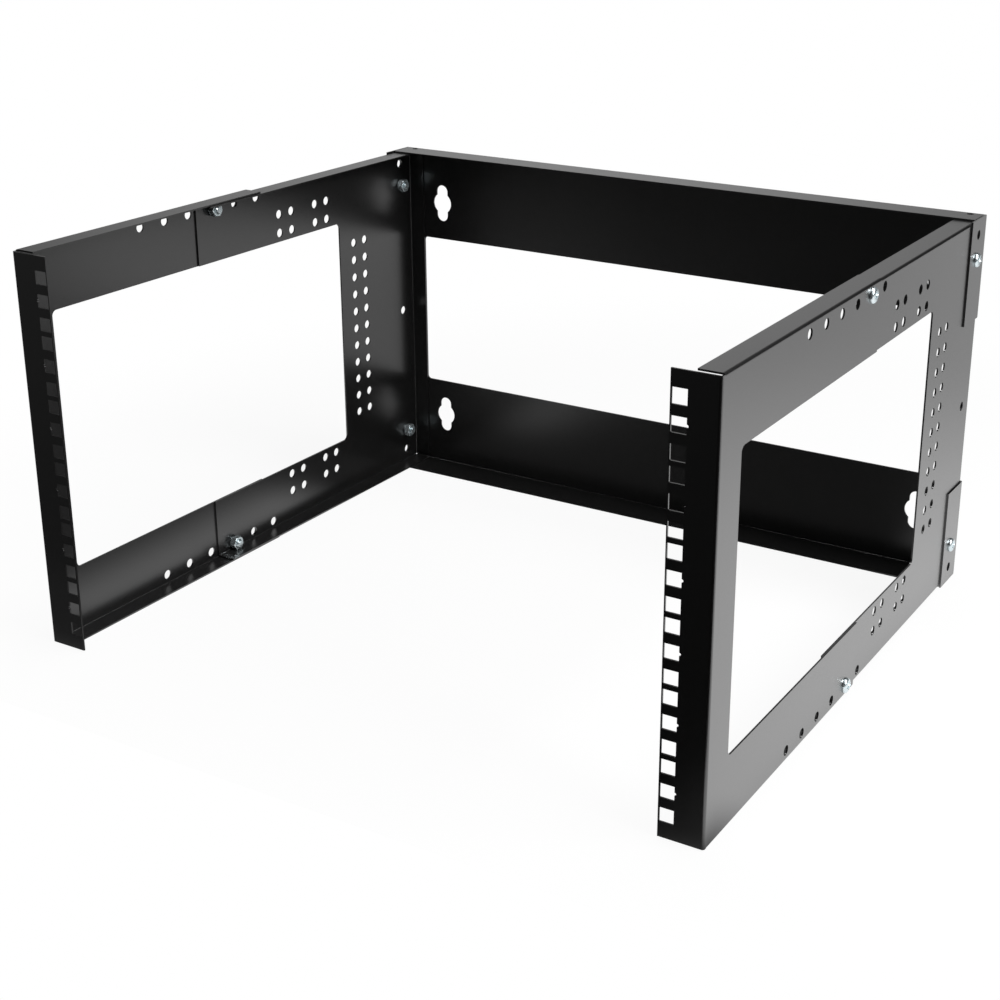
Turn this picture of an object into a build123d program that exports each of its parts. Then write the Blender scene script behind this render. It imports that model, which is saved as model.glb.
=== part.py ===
from build123d import *
import os

# Open-frame wall rack for 19 inch equipment, six units high, folded from black sheet steel.
# A windowed back frame hangs on the wall by four keyholes. Two rear side frames stand forward
# from it, and two front side frames with square-holed rails slide over those and are bolted
# through their rows of depth holes.
# Millimetres. +X is to the right seen from the front, +Y points at the wall, +Z is up.
# The origin is on the wall face, at the middle of the back frame. The rails face -Y.

# Sheet and bends
sheet = 1.2
bend_inner = 0.6
fold_relief = 2.0
nest_gap = 0.1

# Rack opening and rails
rack_units = 6
unit_height = 44.45
end_margin = 9.65
rail_opening = 454.0
rail_width = 30.0
rail_trim = 1.0
rail_hole_size = 9.5
rail_hole_inset = 5.55
first_hole_height = 6.35
hole_step = 15.875
holes_per_unit = 3
unit_mark_radius = 1.1

# Side frames
arm_height = 48.0
side_flange = 16.0
window_radius = 4.0
front_length = 232.0
front_web = 28.0
rear_length = 274.8
rear_web = 104.0
rear_flange = 15.0
small_hole = 7.0

# Depth holes: the row in each arm and how far the frames are pushed together
depth_hole_first = 117.0
depth_hole_pitch = 25.0
front_hole_count = 5
rear_hole_count = 3
depth_hole_drop = 7.6
rear_depth_inset = 18.0
setting_count = 3

# Accessory holes in the rear side frames
grid_pitch = 15.0
grid_rows = 11
grid_columns = 2
grid_from_wall = 78.7
group_from_wall = 128.7
group_pitch = 45.0
groups_per_arm = 2
group_drop = 33.5

# Back frame
bar_height = 77.5
stile_width = 16.0
stile_inset = 4.5
back_window_radius = 3.0
top_flange = 24.0
bottom_flange = 32.0
ear_depth = 33.0
ear_hole_depth = 17.5
ear_screw_drop = 30.5
ear_hole_drop = 12.0
keyhole_from_side = 35.0
keyhole_drop = 46.0
keyhole_circle = 18.0
keyhole_slot = 11.0
keyhole_length = 31.5
coating_hole = 5.0
coating_hole_from_side = 11.0
coating_hole_from_wall = 6.0

# Screws, lock washers and nuts
screw_size = 5.9
screw_length = 10.0
head_size = 10.6
head_height = 2.8
head_chamfer = 1.2
washer_size = 9.0
washer_thick = 0.8
nut_flats = 10.0
nut_height = 5.0
nut_bore = 6.1

# Sizes worked out from those above
bend_outer = bend_inner + sheet
rack_height = rack_units * unit_height
half_height = rack_height / 2 + end_margin
outer_x = rail_opening / 2 + rail_width
rear_outer_x = outer_x - sheet
inner_face_x = rear_outer_x - sheet
rear_half_height = half_height - sheet - nest_gap
rear_start = -sheet - rear_length
rear_first_hole = rear_start + rear_depth_inset
rail_face = rear_first_hole - depth_hole_first - setting_count * depth_hole_pitch
front_end = rail_face + front_length
side_window_height = 2 * (half_height - arm_height)
back_window_height = 2 * (half_height - bar_height)
window_half_width = outer_x - stile_width
depth_hole_z = half_height - depth_hole_drop
keyhole_x = outer_x - keyhole_from_side
keyhole_z = half_height - keyhole_drop
cut_depth = 4 * sheet

BACK = Vector(0, 1, 0)
FORWARD = Vector(0, -1, 0)
INWARD = Vector(-1, 0, 0)
UP = Vector(0, 0, 1)
DOWN = Vector(0, 0, -1)
ENDS = (("top", 1), ("bottom", -1))


def fold(corner, leg_a, leg_b, reach_a, reach_b, length):
    """One right-angle bend: its outer corner starts at a point and runs along leg_a x leg_b."""
    outer = RectangleRounded(2 * reach_a, 2 * reach_b, bend_outer)
    inner = RectangleRounded(2 * (reach_a - sheet), 2 * (reach_b - sheet), bend_inner)
    quarter = Pos(reach_a / 2, reach_b / 2) * Rectangle(reach_a, reach_b)
    section = Pos(-reach_a, -reach_b) * ((outer - inner) & quarter)
    plane = Plane(origin=corner, x_dir=leg_a * -1, z_dir=leg_a.cross(leg_b))
    return extrude(plane * section, amount=length)


def channel(web_x, height, y_from, y_to):
    """Upright web with a flange bent inward along its top and bottom, drawn out along Y."""
    outer = RectangleRounded(2 * side_flange, height, bend_outer)
    inner = RectangleRounded(2 * (side_flange - sheet), height - 2 * sheet, bend_inner)
    half = Pos(side_flange / 2, 0) * Rectangle(side_flange, height)
    section = Pos(-side_flange, 0) * ((outer - inner) & half)
    plane = Plane(origin=(web_x, y_to, 0), x_dir=(1, 0, 0), z_dir=(0, -1, 0))
    return extrude(plane * section, amount=y_to - y_from)


def side_window(open_end, reach, web_x):
    """Round-cornered cut that leaves a side frame open at one end, as a C."""
    outline = RectangleRounded(2 * reach, side_window_height, window_radius)
    plane = Plane(origin=(web_x - cut_depth, open_end, 0), x_dir=(0, 1, 0), z_dir=(1, 0, 0))
    return extrude(plane * outline, amount=2 * cut_depth)


def cross_holes(places, diameter):
    """Round holes along X through the right-hand side sheets, at (y, z) places."""
    drill = Cylinder(diameter / 2, 2 * cut_depth, rotation=(0, 90, 0))
    return [Pos(rear_outer_x, y, z) * drill for y, z in places]


def depth_hole_places(first_y, count):
    """Places of the depth holes of both arms."""
    row = [first_y + i * depth_hole_pitch for i in range(count)]
    return [(y, side * depth_hole_z) for y in row for _, side in ENDS]


def grid_places(centre_y, centre_z, columns, rows):
    """Places on a square grid about one centre."""
    ys = [centre_y + (i - (columns - 1) / 2) * grid_pitch for i in range(columns)]
    zs = [centre_z + (i - (rows - 1) / 2) * grid_pitch for i in range(rows)]
    return [(y, z) for y in ys for z in zs]


def accessory_places():
    """The tall grid in the rear web and the groups of four in the arms."""
    places = grid_places(-grid_from_wall, 0, grid_columns, grid_rows)
    for i in range(groups_per_arm):
        group_y = -group_from_wall - i * group_pitch
        for _, side in ENDS:
            places += grid_places(group_y, side * (half_height - group_drop), 2, 2)
    return places


def rail_holes():
    """Square holes at the standard rack spacing, the middle one of each unit marked by a nick."""
    hole_x = rail_opening / 2 + rail_hole_inset
    square = Box(rail_hole_size, cut_depth, rail_hole_size)
    nick = Cylinder(unit_mark_radius, cut_depth, rotation=(90, 0, 0))
    cuts = []
    for unit in range(rack_units):
        for i in range(holes_per_unit):
            z = unit * unit_height + first_hole_height + i * hole_step - rack_height / 2
            cuts.append(Pos(hole_x, rail_face, z) * square)
            if i == holes_per_unit // 2:
                cuts.append(Pos(hole_x + rail_hole_size / 2, rail_face, z) * nick)
    return cuts


def front_side_frame():
    """Right-hand front frame: C-shaped side with the rail bent inward along its front edge."""
    flange_start = rail_face + sheet + fold_relief
    body = channel(outer_x, 2 * half_height, flange_start, front_end)
    rail_top = half_height - rail_trim
    body += fold(
        Vector(outer_x, rail_face, rail_top), INWARD, BACK,
        rail_width, sheet + fold_relief, 2 * rail_top,
    )
    body -= side_window(front_end, front_length - front_web, outer_x)
    body -= cross_holes(depth_hole_places(rail_face + depth_hole_first, front_hole_count), small_hole)
    body -= rail_holes()
    return body


def rear_side_frame():
    """Right-hand rear frame: C-shaped side, flanged along its top, bottom and wall edge."""
    flange_end = -sheet - bend_outer - fold_relief
    body = channel(rear_outer_x, 2 * rear_half_height, rear_start, flange_end)
    flange_top = rear_half_height - bend_outer - fold_relief
    body += fold(
        Vector(rear_outer_x, -sheet, -flange_top), INWARD, FORWARD,
        rear_flange, bend_outer + fold_relief, 2 * flange_top,
    )
    body -= side_window(rear_start, rear_length - rear_web, rear_outer_x)
    places = depth_hole_places(rear_first_hole, rear_hole_count) + accessory_places()
    places += [(-ear_hole_depth, 0)]
    places += [(-ear_hole_depth, side * z) for _, side in ENDS for z in ear_hole_heights()]
    body -= cross_holes(places, small_hole)
    return body


def ear_hole_heights():
    """Heights of the screw and the spare hole in each upper ear."""
    return (half_height - ear_screw_drop, half_height - ear_hole_drop)


def ear():
    """Upper right ear: bent forward from the plate, its flat running up to the full height."""
    bottom = half_height - bar_height
    bent_height = bar_height - bend_outer
    piece = fold(
        Vector(outer_x, 0, bottom), INWARD, FORWARD,
        bend_outer + stile_inset, ear_depth, bent_height,
    )
    flat_depth = ear_depth - bend_outer
    piece += Pos(outer_x - sheet / 2, -bend_outer - flat_depth / 2, bottom + bar_height / 2) * Box(
        sheet, flat_depth, bar_height
    )
    return piece - cross_holes([(-ear_hole_depth, z) for z in ear_hole_heights()], small_hole)


def keyhole():
    """Round hole with an upright slot running out above and below it."""
    outline = Circle(keyhole_circle / 2) + Rot(0, 0, 90) * SlotOverall(keyhole_length, keyhole_slot)
    return extrude(Plane.XZ * outline, amount=cut_depth, both=True)


def back_frame():
    """Windowed plate with flanges along its top and bottom and four ears at its sides."""
    plate_half = outer_x - stile_inset
    flange_half = outer_x - bend_outer
    window = RectangleRounded(2 * window_half_width, back_window_height, back_window_radius)
    outline = Rectangle(2 * plate_half, 2 * (half_height - bend_outer)) - window
    body = extrude(Plane.XZ * outline, amount=sheet)
    body += fold(
        Vector(-flange_half, 0, half_height), FORWARD, DOWN,
        top_flange, bar_height, 2 * flange_half,
    )
    body += fold(
        Vector(flange_half, 0, -half_height), FORWARD, UP,
        bottom_flange, bar_height, 2 * flange_half,
    )
    upper = ear()
    lower = mirror(upper, about=Plane.XY)
    for right_ear in (upper, lower):
        body += right_ear
        body += mirror(right_ear, about=Plane.YZ)
    slot = keyhole()
    drill = Cylinder(coating_hole / 2, cut_depth)
    for side in (-1, 1):
        body -= [Pos(side * keyhole_x, 0, end * keyhole_z) * slot for _, end in ENDS]
        hole_x = side * (outer_x - coating_hole_from_side)
        body -= Pos(hole_x, -coating_hole_from_wall, half_height) * drill
    return body


def screw():
    """Low round-headed screw along -X, the underside of its head at the origin."""
    profile = Polyline(
        (0, 0), (head_height, 0), (head_height, head_size / 2 - head_chamfer),
        (head_height - head_chamfer, head_size / 2), (0, head_size / 2),
        (0, screw_size / 2), (-screw_length, screw_size / 2), (-screw_length, 0), close=True,
    )
    return revolve(make_face(profile), axis=Axis.X)


def washer():
    """Lock washer with its outer face at the origin, reaching along -X."""
    ring = Circle(washer_size / 2) - Circle(nut_bore / 2)
    return extrude(Plane.YZ * ring, amount=-washer_thick)


def nut():
    """Hexagon nut with its outer face at the origin, reaching along -X."""
    outline = RegularPolygon(nut_flats / 2, 6, major_radius=False) - Circle(nut_bore / 2)
    return extrude(Plane.YZ * outline, amount=-nut_height)


def save(name, shape):
    """Writes one piece under its own name."""
    export_step(shape, "parts/" + name + ".step")


def save_both_sides(name, shape):
    """Writes a right-hand piece and its mirror image."""
    save(name + "_right", shape)
    save(name + "_left", mirror(shape, about=Plane.YZ))


def save_fixing(name, y, z, side):
    """Writes the screw, lock washer and nut of one fixing."""
    stack = (
        ("screw", screw(), outer_x),
        ("washer", washer(), inner_face_x),
        ("nut", nut(), inner_face_x - washer_thick),
    )
    for kind, shape, x in stack:
        placed = Pos(x, y, z) * shape
        if side == "left":
            placed = mirror(placed, about=Plane.YZ)
        save(kind + "_" + name, placed)


os.makedirs("parts", exist_ok=True)
save("back_frame", back_frame())
save_both_sides("front_side", front_side_frame())
save_both_sides("rear_side", rear_side_frame())

# On the left the depth screws sit in the first shared hole, on the right in the second
depth_screw_steps = {"left": 0, "right": 1}
for side_name, step in depth_screw_steps.items():
    for end_name, end in ENDS:
        place = side_name + "_" + end_name
        depth_y = rear_first_hole + step * depth_hole_pitch
        save_fixing("depth_" + place, depth_y, end * depth_hole_z, side_name)
        save_fixing("ear_" + place, -ear_hole_depth, end * (half_height - ear_screw_drop), side_name)
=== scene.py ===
import math
import random

import bmesh
import bpy
from mathutils import Matrix, Vector


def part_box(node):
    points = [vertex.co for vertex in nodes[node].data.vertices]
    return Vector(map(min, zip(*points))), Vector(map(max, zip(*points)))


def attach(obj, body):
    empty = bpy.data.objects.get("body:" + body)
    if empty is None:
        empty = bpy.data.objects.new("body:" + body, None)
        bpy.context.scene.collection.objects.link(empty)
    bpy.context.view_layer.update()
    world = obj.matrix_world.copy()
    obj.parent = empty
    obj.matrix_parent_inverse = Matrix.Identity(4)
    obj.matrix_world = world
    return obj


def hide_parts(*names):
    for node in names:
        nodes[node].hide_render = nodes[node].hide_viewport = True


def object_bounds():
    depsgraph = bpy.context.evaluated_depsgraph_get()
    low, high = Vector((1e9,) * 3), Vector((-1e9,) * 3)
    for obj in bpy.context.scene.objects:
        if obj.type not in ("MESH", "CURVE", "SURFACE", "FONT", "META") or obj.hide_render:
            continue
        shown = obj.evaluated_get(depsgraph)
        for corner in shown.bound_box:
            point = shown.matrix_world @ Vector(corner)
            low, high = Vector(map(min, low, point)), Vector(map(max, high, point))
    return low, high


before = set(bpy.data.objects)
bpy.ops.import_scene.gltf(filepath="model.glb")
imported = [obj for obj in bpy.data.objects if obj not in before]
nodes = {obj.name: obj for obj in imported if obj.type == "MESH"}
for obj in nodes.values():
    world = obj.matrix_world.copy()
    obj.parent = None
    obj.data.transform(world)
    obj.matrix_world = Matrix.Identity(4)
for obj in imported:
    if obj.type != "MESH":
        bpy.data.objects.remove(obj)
cad_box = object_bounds()

# The camera, solved from the rail holes in the photograph
CAMERA_PLACE = (0.60368, -1.20863, 0.40772)
CAMERA_TURN = (69.9453, -0.4087, 30.2248)
SENSOR = 36.0
FOCAL_PIXELS = 1697.26
PHOTO_SIDE = 1000
IMAGE_CENTRE = (566.24, 443.73)
NEAREST = 0.05

# Powder coat: tones, noise scales per metre, roughness from and to, relief as (strength, metres)
COAT_DARK = (0.0022, 0.0021, 0.0022, 1)
COAT_PALE = (0.0042, 0.0040, 0.0041, 1)
COAT_PATCHES = 9.0
COAT_GRAIN = 1400.0
COAT_PEEL = 700.0
COAT_ROUGH = (0.25, 0.35)
COAT_TOP_ROUGH = 0.26
COAT_RELIEF = (0.10, 0.0002)
NOISE_DETAIL = 2.0
PATCH_DETAIL = 3.0
BASE_IOR = 1.85
COAT_IOR = 1.48

# Zinc plating, in the same terms
ZINC_DARK = (0.66, 0.78, 0.82, 1)
ZINC_PALE = (0.92, 0.98, 1.0, 1)
ZINC_METAL = 0.9
ZINC_PATCHES = 260.0
ZINC_GRAIN = 900.0
ZINC_PITS = 2600.0
ZINC_ROUGH = (0.16, 0.34)
ZINC_RELIEF = (0.15, 0.00005)

# Fixings, M6 with a low round head: lengths in metres, angles in degrees, the rest shares and counts
HEAD_HEIGHT = 0.0028
HEAD_RIM = 0.0006
EDGE_BREAK = 0.00015
DOME_STEPS = 9
DOME_FLAT = 0.62
DOME_ROUND = 0.9
CROSS_WIDTH = 0.0015
CROSS_REACH = 0.0062
CROSS_ROUND = 0.0004
CROSS_DEPTH = 0.0019
CROSS_TAPER = 0.45
CROSS_ABOVE = 0.1
CROSS_FLARE = 1.06
THREAD_SIZE = 0.0059
THREAD_DEPTH = 0.00055
PITCH = 0.001
ROOT_END = 0.235
CREST_START = 0.555
CREST_END = 0.68
NUT_BORE = 0.0061
NUT_TURNED = 0.95
NUT_CHAMFER = 30
COUNTERSINK = 0.0004
WASHER_SLIT = 0.0005
WASHER_SLANT = 0.4
TURN_POINTS = 48
SHARP_ANGLE = 28
WELD = 1e-7
FIXING_SEED = 6

# Surroundings: the room's lights are azimuth, height and strength; the lamps are metres and watts
LOBE_SHARPNESS = 14.0
WHITE = (1, 1, 1, 1)
AMBIENT = 0.01
ROOM_LIGHTS = ((-30, 8, 0.48), (-35, 32, 0.02), (-135, 0, 0.1))
FLOOR_GAP = 0.0001
FLOOR_REACH = (-2.0, 3.0, -0.53, 3.0)
FLOOR_COLOUR = (0.85, 0.85, 0.85, 1)
FLOOR_ROUGH = 0.8
FLOOR_SPECULAR = 0.1
FLOOR_WHITE = 0.9
SHADOW_REACH = (0.35, 0.75)

# Painted reflection: how white the table glows in gloss, painted light to the right and behind and painted
# shade under the rack; each eases between two places along an axis, from low to high
RIGHT_X = (0.175, 0.28, 0.0, 1.0)
RIGHT_Y = (-0.1, 0.6, 1.0, 0.55)
BEHIND_Y = (-0.04, 0.12, 0.05, 0.4)
LEFT_X = (-0.22, -0.16, 0.62, 0.0)
LEFT_Y = (-0.17, -0.08, 1.0, 0.0)
FRONT_Y = (-0.47, -0.38, 0.1, 1.0)
BESIDE_X = (0.245, 0.28, 0.0, 1.0)

LAMP_AIM = (0, -0.2, -0.143)
LAMPS = (
    ("lamp_right", (1.3, -0.3, 1.0), 1.0, 30.0),
    ("lamp_top", (0.1, 0.1, 1.8), 1.0, 20.0),
)


def new_material(name):
    """A node material with its shader, returned as (material, node tree, shader)."""
    material = bpy.data.materials.new(name)
    material.use_nodes = True
    tree = material.node_tree
    shader = tree.nodes["Principled BSDF"]
    return material, tree, shader


def add_node(tree, kind, **values):
    """A node with its sockets set by name."""
    node = tree.nodes.new(kind)
    for key, value in values.items():
        node.inputs[key].default_value = value
    return node


def object_noise(tree, scale, detail=NOISE_DETAIL):
    """Noise fixed to the object, so it stays put from every side."""
    place = tree.nodes.new("ShaderNodeTexCoord")
    noise = add_node(tree, "ShaderNodeTexNoise", Scale=scale, Detail=detail)
    tree.links.new(place.outputs["Object"], noise.inputs["Vector"])
    return noise


def ranged(tree, source, low, high):
    """A value mapped from 0..1 to low..high."""
    span = tree.nodes.new("ShaderNodeMapRange")
    span.inputs["To Min"].default_value = low
    span.inputs["To Max"].default_value = high
    tree.links.new(source, span.inputs["Value"])
    return span.outputs["Result"]


def blended(tree, source, low, high):
    """A colour mixed from low to high by a value of 0..1."""
    mix = tree.nodes.new("ShaderNodeMix")
    mix.data_type = "RGBA"
    mix.inputs["A"].default_value = low
    mix.inputs["B"].default_value = high
    tree.links.new(source, mix.inputs["Factor"])
    return mix.outputs["Result"]


def bumped(tree, shader, source, strength, depth):
    """Fine relief on the shader's normal."""
    bump = tree.nodes.new("ShaderNodeBump")
    bump.inputs["Strength"].default_value = strength
    bump.inputs["Distance"].default_value = depth
    tree.links.new(source, bump.inputs["Height"])
    tree.links.new(bump.outputs["Normal"], shader.inputs["Normal"])
    return bump


def powder_coat():
    """Satin black powder coat: near black, with fine orange peel and slight patches from spraying."""
    material, tree, shader = new_material("powder_coat")
    patches = object_noise(tree, COAT_PATCHES, PATCH_DETAIL)
    tree.links.new(blended(tree, patches.outputs["Fac"], COAT_DARK, COAT_PALE), shader.inputs["Base Color"])
    grain = object_noise(tree, COAT_GRAIN)
    tree.links.new(ranged(tree, grain.outputs["Fac"], *COAT_ROUGH), shader.inputs["Roughness"])
    peel = object_noise(tree, COAT_PEEL, PATCH_DETAIL)
    bump = bumped(tree, shader, peel.outputs["Fac"], *COAT_RELIEF)
    tree.links.new(bump.outputs["Normal"], shader.inputs["Coat Normal"])
    shader.inputs["IOR"].default_value = BASE_IOR
    shader.inputs["Coat Weight"].default_value = 1.0
    shader.inputs["Coat IOR"].default_value = COAT_IOR
    shader.inputs["Coat Roughness"].default_value = COAT_TOP_ROUGH
    return material


def zinc():
    """Bright zinc plating with its blue tinge, a little uneven in gloss."""
    material, tree, shader = new_material("zinc")
    shader.inputs["Metallic"].default_value = ZINC_METAL
    patches = object_noise(tree, ZINC_PATCHES, PATCH_DETAIL)
    tree.links.new(blended(tree, patches.outputs["Fac"], ZINC_DARK, ZINC_PALE), shader.inputs["Base Color"])
    grain = object_noise(tree, ZINC_GRAIN)
    tree.links.new(ranged(tree, grain.outputs["Fac"], *ZINC_ROUGH), shader.inputs["Roughness"])
    pits = object_noise(tree, ZINC_PITS)
    bumped(tree, shader, pits.outputs["Fac"], *ZINC_RELIEF)
    return material


def dress_nodes(coat, plating):
    """Gives every CAD node its finish."""
    for name, node in nodes.items():
        fixing = name.startswith(("screw", "washer", "nut"))
        node.data.materials.clear()
        node.data.materials.append(plating if fixing else coat)


def place_points(x, radius):
    """Points round the X axis; the place along it and the radius may each be a function of the angle."""
    points = []
    for i in range(TURN_POINTS):
        angle = 2 * math.pi * i / TURN_POINTS
        along = x(angle) if callable(x) else x
        reach = radius(angle) if callable(radius) else radius
        points.append((along, reach * math.cos(angle), reach * math.sin(angle)))
    return points


def skin(rings, closed=False):
    """Quads between rings of equally many points; open ends are capped."""
    bm = bmesh.new()
    rows = [[bm.verts.new(point) for point in ring] for ring in rings]
    pairs = list(zip(rows, rows[1:]))
    if closed:
        pairs.append((rows[-1], rows[0]))
    for near, far in pairs:
        for i, corner in enumerate(near):
            j = (i + 1) % len(near)
            bm.faces.new((corner, near[j], far[j], far[i]))
    return close_up(bm)


def close_up(bm):
    """Welds what coincides, caps open ends and turns every face outward."""
    bmesh.ops.remove_doubles(bm, verts=bm.verts, dist=WELD)
    rim = [edge for edge in bm.edges if edge.is_boundary]
    if rim:
        bmesh.ops.holes_fill(bm, edges=rim, sides=0)
    bmesh.ops.recalc_face_normals(bm, faces=bm.faces)
    return bm


def to_mesh(bm, name):
    """The bmesh as a mesh, smooth but for its real edges."""
    mesh = bpy.data.meshes.new(name)
    bm.to_mesh(mesh)
    bm.free()
    mesh.shade_smooth()
    mesh.set_sharp_from_angle(angle=math.radians(SHARP_ANGLE))
    return mesh


def head_profile(seat, top, radius):
    """Low round head from its seat to its top, as (x, radius) pairs."""
    brow = seat + HEAD_RIM
    profile = [(seat, radius - EDGE_BREAK), (seat + EDGE_BREAK, radius), (brow, radius)]
    for step in range(1, DOME_STEPS):
        turn = 0.5 * math.pi * step / DOME_STEPS
        out = radius * math.cos(turn) ** DOME_FLAT
        rise = (top - brow) * math.sin(turn) ** DOME_ROUND
        profile.append((brow + rise, out))
    return profile


def recess_cutter(top):
    """Tapered cross that cuts the drive into the head."""
    w, reach, corner = CROSS_WIDTH / 2, CROSS_REACH / 2, CROSS_WIDTH / 2 + CROSS_ROUND
    arm = [(reach, w), (corner, w), (w, corner), (w, reach)]
    outline = []
    for quarter in range(4):
        turn = 0.5 * math.pi * quarter
        along, across = math.cos(turn), math.sin(turn)
        for y, z in arm:
            outline.append((y * along - z * across, y * across + z * along))
    rings = []
    for depth, share in ((-CROSS_ABOVE * CROSS_DEPTH, CROSS_FLARE), (CROSS_DEPTH, CROSS_TAPER)):
        rings.append([(top - depth, y * share, z * share) for y, z in outline])
    return skin(rings)


def screw_head(seat, top, radius, roll):
    """The head with its cross recess, turned to where the screwdriver left it."""
    profile = head_profile(seat, top, radius)
    head = bpy.data.objects.new("head", to_mesh(skin([place_points(x, r) for x, r in profile]), "head"))
    cutter = bpy.data.objects.new("cutter", to_mesh(recess_cutter(top), "cutter"))
    for part in (head, cutter):
        bpy.context.collection.objects.link(part)
    cut = head.modifiers.new("recess", "BOOLEAN")
    cut.operation = "DIFFERENCE"
    cut.solver = "EXACT"
    cut.object = cutter
    bpy.context.view_layer.update()
    mesh = bpy.data.meshes.new_from_object(head.evaluated_get(bpy.context.evaluated_depsgraph_get()))
    for part in (head, cutter):
        bpy.data.objects.remove(part)
    mesh.transform(Matrix.Rotation(roll, 4, "X"))
    return mesh


def thread(tip, seat, crest):
    """Threaded shank: one helical groove, running out at both ends."""
    root = crest - THREAD_DEPTH
    steps = ((0.0, root), (ROOT_END, root), (CREST_START, crest), (CREST_END, crest))
    turns = math.ceil((seat - tip) / PITCH) + 2
    rows = []
    for turn in range(-2, turns):
        for share, radius in steps:
            rows.append((tip + (turn + share) * PITCH, radius))
    bm = bmesh.new()
    grid = []
    for x, radius in rows:
        ring = []
        for i in range(TURN_POINTS):
            angle = 2 * math.pi * i / TURN_POINTS
            along = x + PITCH * i / TURN_POINTS
            reach = min(radius, root + max(0.0, along - tip), root + max(0.0, seat - along))
            along = min(max(along, tip), seat)
            ring.append(bm.verts.new((along, reach * math.cos(angle), reach * math.sin(angle))))
        grid.append(ring)
    for j in range(len(grid) - 1):
        for i in range(TURN_POINTS - 1):
            bm.faces.new((grid[j][i], grid[j][i + 1], grid[j + 1][i + 1], grid[j + 1][i]))
        k = min(j + len(steps), len(grid) - 1)
        n = min(j + len(steps) + 1, len(grid) - 1)
        if n > k:
            bm.faces.new((grid[j][-1], grid[k][0], grid[n][0], grid[j + 1][-1]))
    return close_up(bm)


def screw(low, high, roll):
    """Low round-headed screw with a cross recess and a cut thread."""
    radius = (high[2] - low[2]) / 2
    seat = high[0] - HEAD_HEIGHT
    bm = bmesh.new()
    bm.from_mesh(screw_head(seat, high[0], radius, roll))
    shank = to_mesh(thread(low[0], seat + HEAD_RIM / 2, THREAD_SIZE / 2), "shank")
    bm.from_mesh(shank)
    return to_mesh(bm, "screw")


def nut(low, high, roll):
    """Hexagon nut with turned corners and a countersunk bore; it keeps the solid's turn, not the roll."""
    flat = (high[2] - low[2]) / 2
    turned = flat * NUT_TURNED
    bore = NUT_BORE / 2

    def hexagon(angle):
        """Reach of the six flats at an angle."""
        return flat / math.cos(angle % (math.pi / 3) - math.pi / 6)

    def fall(angle):
        """How far the chamfer drops from the face at an angle."""
        return (hexagon(angle) - turned) * math.tan(math.radians(NUT_CHAMFER))

    near, far = low[0], high[0]
    rings = [
        place_points(near + COUNTERSINK, bore),
        place_points(near, bore + COUNTERSINK),
        place_points(near, turned),
        place_points(lambda angle: near + fall(angle), hexagon),
        place_points(lambda angle: far - fall(angle), hexagon),
        place_points(far, turned),
        place_points(far, bore + COUNTERSINK),
        place_points(far - COUNTERSINK, bore),
    ]
    return to_mesh(skin(rings, closed=True), "nut")


def washer(low, high, roll):
    """Spring lock washer, slit at a slant."""
    outer = (high[2] - low[2]) / 2
    inner = NUT_BORE / 2
    near, far = low[0], high[0]
    sections = []
    for step in range(TURN_POINTS + 1):
        share = step / TURN_POINTS
        corners = ((near, inner), (near, outer), (far, outer), (far, inner))
        ring = []
        for x, radius in corners:
            lean = WASHER_SLANT * (x - near) / radius
            angle = roll + lean + WASHER_SLIT / outer + share * (2 * math.pi - WASHER_SLIT / outer)
            ring.append((x, radius * math.cos(angle), radius * math.sin(angle)))
        sections.append(ring)
    return to_mesh(skin(sections), "washer")


def soften(piece, width):
    """Breaks the sharp edges."""
    bevel = piece.modifiers.new("edges", "BEVEL")
    bevel.width = width
    bevel.segments = 2
    bevel.limit_method = "ANGLE"
    bevel.angle_limit = math.radians(SHARP_ANGLE)
    bevel.harden_normals = True


def fixing_pieces(plating):
    """Detailed screws, washers and nuts in the places of the plain ones."""
    shapes = {"screw": screw, "washer": washer, "nut": nut}
    rolls = random.Random(FIXING_SEED)
    for name in sorted(nodes):
        kind = name.split("_")[0]
        if kind not in shapes:
            continue
        low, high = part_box(name)
        place = [(a + b) / 2 for a, b in zip(low, high)]
        side = 1 if place[0] > 0 else -1
        inner, outer = sorted((abs(low[0]), abs(high[0])))
        half = [(b - a) / 2 for a, b in zip(low, high)]
        roll = rolls.uniform(0, 2 * math.pi)
        mesh = shapes[kind]((inner, -half[1], -half[2]), (outer, half[1], half[2]), roll)
        if side < 0:
            mesh.transform(Matrix.Rotation(math.pi, 4, "Z"))
        mesh.transform(Matrix.Translation((0, place[1], place[2])))
        mesh.materials.append(plating)
        piece = bpy.data.objects.new("detailed_" + name, mesh)
        bpy.context.collection.objects.link(piece)
        if kind != "screw":
            soften(piece, EDGE_BREAK)
        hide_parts(name)
        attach(piece, "root")


def camera():
    """The photograph's camera."""
    data = bpy.data.cameras.new("camera")
    data.sensor_width = SENSOR
    data.lens = FOCAL_PIXELS / PHOTO_SIDE * SENSOR
    data.shift_x = 0.5 - IMAGE_CENTRE[0] / PHOTO_SIDE
    data.shift_y = IMAGE_CENTRE[1] / PHOTO_SIDE - 0.5
    data.clip_start = NEAREST
    view = bpy.data.objects.new("camera", data)
    view.location = CAMERA_PLACE
    view.rotation_euler = [math.radians(a) for a in CAMERA_TURN]
    bpy.context.collection.objects.link(view)
    bpy.context.scene.camera = view


def area_lamp(name, place, aim, side, power):
    """A square soft lamp."""
    data = bpy.data.lights.new(name, "AREA")
    data.size = side
    data.energy = power
    lamp = bpy.data.objects.new(name, data)
    lamp.location = place
    lamp.rotation_euler = (Vector(aim) - Vector(place)).to_track_quat("-Z", "Y").to_euler()
    bpy.context.collection.objects.link(lamp)


def maths(tree, operation, first, second):
    """A maths node of two values, each a number or a socket."""
    node = tree.nodes.new("ShaderNodeMath")
    node.operation = operation
    for socket, value in zip(node.inputs, (first, second)):
        if isinstance(value, (int, float)):
            socket.default_value = value
        else:
            tree.links.new(value, socket)
    return node.outputs["Value"]


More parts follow.
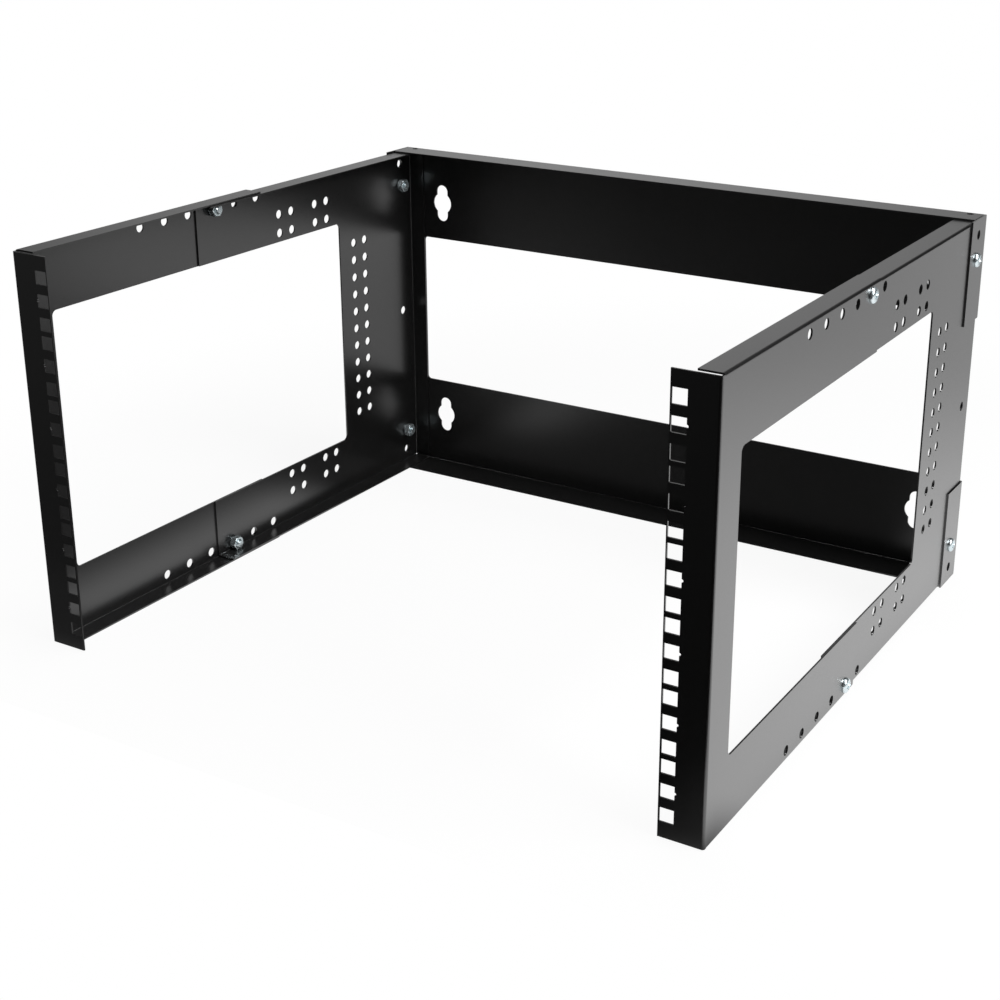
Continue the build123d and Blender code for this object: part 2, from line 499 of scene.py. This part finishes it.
def eased(tree, source, start, end, low, high):
    """A value that eases from low at start to high at end."""
    span = tree.nodes.new("ShaderNodeMapRange")
    span.interpolation_type = "SMOOTHSTEP"
    for socket, value in (("From Min", start), ("From Max", end), ("To Min", low), ("To Max", high)):
        span.inputs[socket].default_value = value
    tree.links.new(source, span.inputs["Value"])
    return span.outputs["Result"]


def lobe(tree, place, azimuth, height, strength):
    """A soft round light in the room, at an azimuth from +Y toward +X and a height, in degrees."""
    turn, rise = math.radians(azimuth), math.radians(height)
    dot = tree.nodes.new("ShaderNodeVectorMath")
    dot.operation = "DOT_PRODUCT"
    dot.inputs[1].default_value = (
        math.sin(turn) * math.cos(rise),
        math.cos(turn) * math.cos(rise),
        math.sin(rise),
    )
    tree.links.new(place.outputs["Generated"], dot.inputs[0])
    ahead = maths(tree, "MAXIMUM", dot.outputs["Value"], 0.0)
    return maths(tree, "MULTIPLY", maths(tree, "POWER", ahead, LOBE_SHARPNESS), strength)


def seen_as_white(tree):
    """1 for the rays that see the plain white background: the lens and glass."""
    path = tree.nodes.new("ShaderNodeLightPath")
    return maths(tree, "MAXIMUM", path.outputs["Is Camera Ray"], path.outputs["Is Transmission Ray"])


def studio():
    """Dim room with soft lights far off, white to the lens and through glass."""
    world = bpy.data.worlds.new("studio")
    bpy.context.scene.world = world
    world.use_nodes = True
    tree = world.node_tree
    tree.nodes.clear()
    place = tree.nodes.new("ShaderNodeTexCoord")
    level = AMBIENT
    for azimuth, height, strength in ROOM_LIGHTS:
        level = maths(tree, "ADD", lobe(tree, place, azimuth, height, strength), level)
    room = add_node(tree, "ShaderNodeBackground", Color=WHITE)
    white = add_node(tree, "ShaderNodeBackground", Color=WHITE, Strength=1.0)
    mix = tree.nodes.new("ShaderNodeMixShader")
    out = tree.nodes.new("ShaderNodeOutputWorld")
    tree.links.new(level, room.inputs["Strength"])
    tree.links.new(seen_as_white(tree), mix.inputs["Fac"])
    tree.links.new(room.outputs["Background"], mix.inputs[1])
    tree.links.new(white.outputs["Background"], mix.inputs[2])
    tree.links.new(mix.outputs["Shader"], out.inputs["Surface"])


def painted_floor_reflection(tree):
    """Painted reflection: how white the table glows in gloss, with painted light at the right, dimmer
    behind, and painted shade under the rack.
    """
    place = tree.nodes.new("ShaderNodeTexCoord")
    split = tree.nodes.new("ShaderNodeSeparateXYZ")
    tree.links.new(place.outputs["Object"], split.inputs["Vector"])
    x, y = split.outputs["X"], split.outputs["Y"]
    right = maths(tree, "MULTIPLY", eased(tree, x, *RIGHT_X), eased(tree, y, *RIGHT_Y))
    behind = eased(tree, y, *BEHIND_Y)
    left = maths(tree, "MULTIPLY", eased(tree, x, *LEFT_X), eased(tree, y, *LEFT_Y))
    share = maths(tree, "MAXIMUM", maths(tree, "MAXIMUM", right, behind), left)
    front = maths(tree, "MAXIMUM", eased(tree, y, *FRONT_Y), eased(tree, x, *BESIDE_X))
    return maths(tree, "MULTIPLY", share, front)


def table_top():
    """White with a faint shadow to the lens, and in gloss a glow with its own painted map of light and
    shade.
    """
    material, tree, shader = new_material("floor")
    shader.inputs["Base Color"].default_value = FLOOR_COLOUR
    shader.inputs["Roughness"].default_value = FLOOR_ROUGH
    shader.inputs["Specular IOR Level"].default_value = FLOOR_SPECULAR
    path = tree.nodes.new("ShaderNodeLightPath")
    in_gloss = path.outputs["Is Glossy Ray"]
    white = add_node(tree, "ShaderNodeEmission", Color=WHITE)
    place = tree.nodes.new("ShaderNodeTexCoord")
    far = tree.nodes.new("ShaderNodeVectorMath")
    far.operation = "LENGTH"
    tree.links.new(place.outputs["Object"], far.inputs[0])
    white_share = eased(tree, far.outputs["Value"], *SHADOW_REACH, FLOOR_WHITE, 1.0)
    to_lens = maths(tree, "MULTIPLY", seen_as_white(tree), white_share)
    # In gloss the table glows by a painted map: painted light to the right and behind, painted shade under
    # the rack
    glow = maths(tree, "MULTIPLY", in_gloss, painted_floor_reflection(tree))
    plain = maths(tree, "SUBTRACT", 1.0, in_gloss)
    tree.links.new(maths(tree, "ADD", glow, plain), white.inputs["Strength"])
    mix = tree.nodes.new("ShaderNodeMixShader")
    tree.links.new(maths(tree, "MAXIMUM", to_lens, in_gloss), mix.inputs["Fac"])
    tree.links.new(shader.outputs["BSDF"], mix.inputs[1])
    tree.links.new(white.outputs["Emission"], mix.inputs[2])
    tree.links.new(mix.outputs["Shader"], tree.nodes["Material Output"].inputs["Surface"])
    return material


def floor():
    """Table top from the front of the rack to far behind it, a hair under the rack."""
    x0, x1, y0, y1 = FLOOR_REACH
    level = cad_box[0][2] - FLOOR_GAP
    corners = [(x, y, level) for x, y in ((x0, y0), (x1, y0), (x1, y1), (x0, y1))]
    mesh = bpy.data.meshes.new("floor")
    mesh.from_pydata(corners, [], [(0, 1, 2, 3)])
    mesh.materials.append(table_top())
    top = bpy.data.objects.new("floor", mesh)
    bpy.context.collection.objects.link(top)


def lamps():
    """Large soft lamps over the right front and above."""
    for name, place, side, power in LAMPS:
        area_lamp(name, place, LAMP_AIM, side, power)


coat = powder_coat()
plating = zinc()
dress_nodes(coat, plating)
fixing_pieces(plating)
camera()
studio()
floor()
lamps()
bpy.context.scene.view_settings.view_transform = "Standard"
